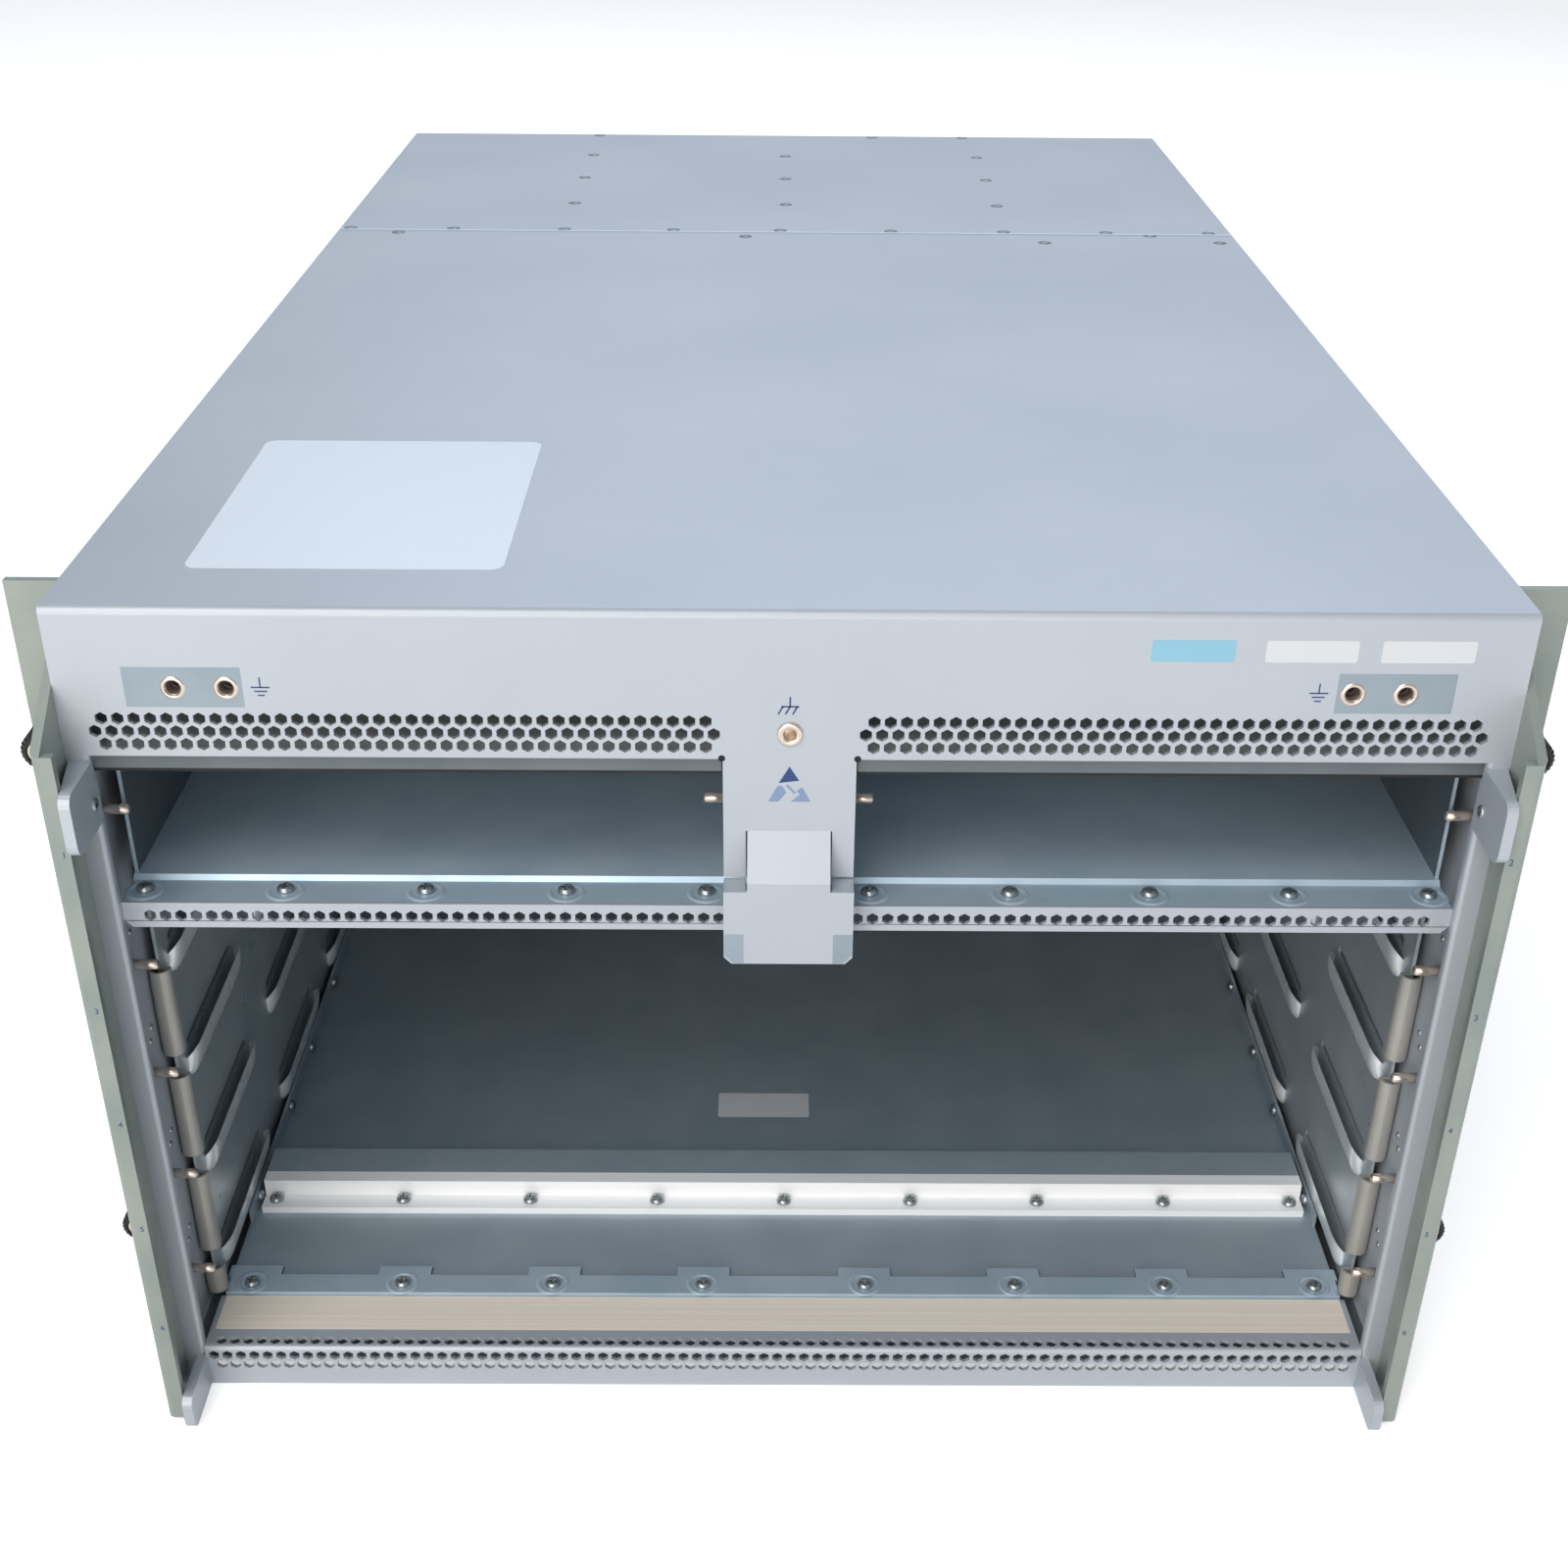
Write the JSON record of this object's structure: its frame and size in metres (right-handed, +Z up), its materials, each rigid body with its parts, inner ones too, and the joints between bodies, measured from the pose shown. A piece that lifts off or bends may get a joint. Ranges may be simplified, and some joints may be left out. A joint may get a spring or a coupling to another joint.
{
  "type": "modular chassis switch",
  "caption": "Empty rack chassis of a modular network switch: folded sheet metal with hexagonal vents, card guides, rack brackets and captive screws.",
  "frame": {"origin": "middle of the bottom edge of the front bezel", "axes": "+X to the right seen from the front, +Y from the front to the rear, +Z up"},
  "size_m": [0.4826, 0.754, 0.31],
  "materials": {
    "silver_paint": "satin",
    "zinc_sheet": "satin",
    "bare_aluminium": "satin",
    "nickel": "satin",
    "board": "matte",
    "black_knob": "matte"
  },
  "bodies": {
    "chassis": {"base_pan": "zinc_sheet", "cage_floor": "zinc_sheet", "centre_divider": "zinc_sheet", "duct_deck": "zinc_sheet", "floor_bar": "bare_aluminium", "floor_sill": "zinc_sheet", "floor_strip": "zinc_sheet", "ground_nuts": "nickel", "left_guide_wall": "zinc_sheet", "left_line_card_pins": "nickel", "left_rack_bracket": "zinc_sheet", "left_side_panel": "silver_paint", "left_supply_divider": "zinc_sheet", "lower_bezel": "silver_paint", "mid_shelf": "zinc_sheet", "middle_supply_divider": "zinc_sheet", "midplane": "board", "rear_shelf": "zinc_sheet", "rear_top_cover": "silver_paint", "right_guide_wall": "zinc_sheet", "right_line_card_pins": "nickel", "right_rack_bracket": "zinc_sheet", "right_side_panel": "silver_paint", "right_supply_divider": "zinc_sheet", "screw_ferrules": "nickel", "shelf_lip": "silver_paint", "supervisor_pins": "nickel", "top_cover": "silver_paint", "wrist_strap_socket": "nickel"},
    "lower_left_thumbscrew": {"lower_left_knob": "black_knob", "lower_left_rack_screw": "nickel"},
    "lower_right_thumbscrew": {"lower_right_knob": "black_knob", "lower_right_rack_screw": "nickel"},
    "upper_left_thumbscrew": {"upper_left_knob": "black_knob", "upper_left_rack_screw": "nickel"},
    "upper_right_thumbscrew": {"upper_right_knob": "black_knob", "upper_right_rack_screw": "nickel"}
  },
  "joints": [
    {"name": "lower_left_thumbscrew_turn", "type": "hinge", "parent": "chassis", "child": "lower_left_thumbscrew", "pos_m": [-0.23255, 0.033, 0.06667], "axis": [0, 1, 0], "continuous": true},
    {"name": "lower_right_thumbscrew_turn", "type": "hinge", "parent": "chassis", "child": "lower_right_thumbscrew", "pos_m": [0.23255, 0.033, 0.06667], "axis": [0, 1, 0], "continuous": true},
    {"name": "upper_left_thumbscrew_turn", "type": "hinge", "parent": "chassis", "child": "upper_left_thumbscrew", "pos_m": [-0.23255, 0.033, 0.25717], "axis": [0, 1, 0], "continuous": true},
    {"name": "upper_right_thumbscrew_turn", "type": "hinge", "parent": "chassis", "child": "upper_right_thumbscrew", "pos_m": [0.23255, 0.033, 0.25717], "axis": [0, 1, 0], "continuous": true}
  ]
}
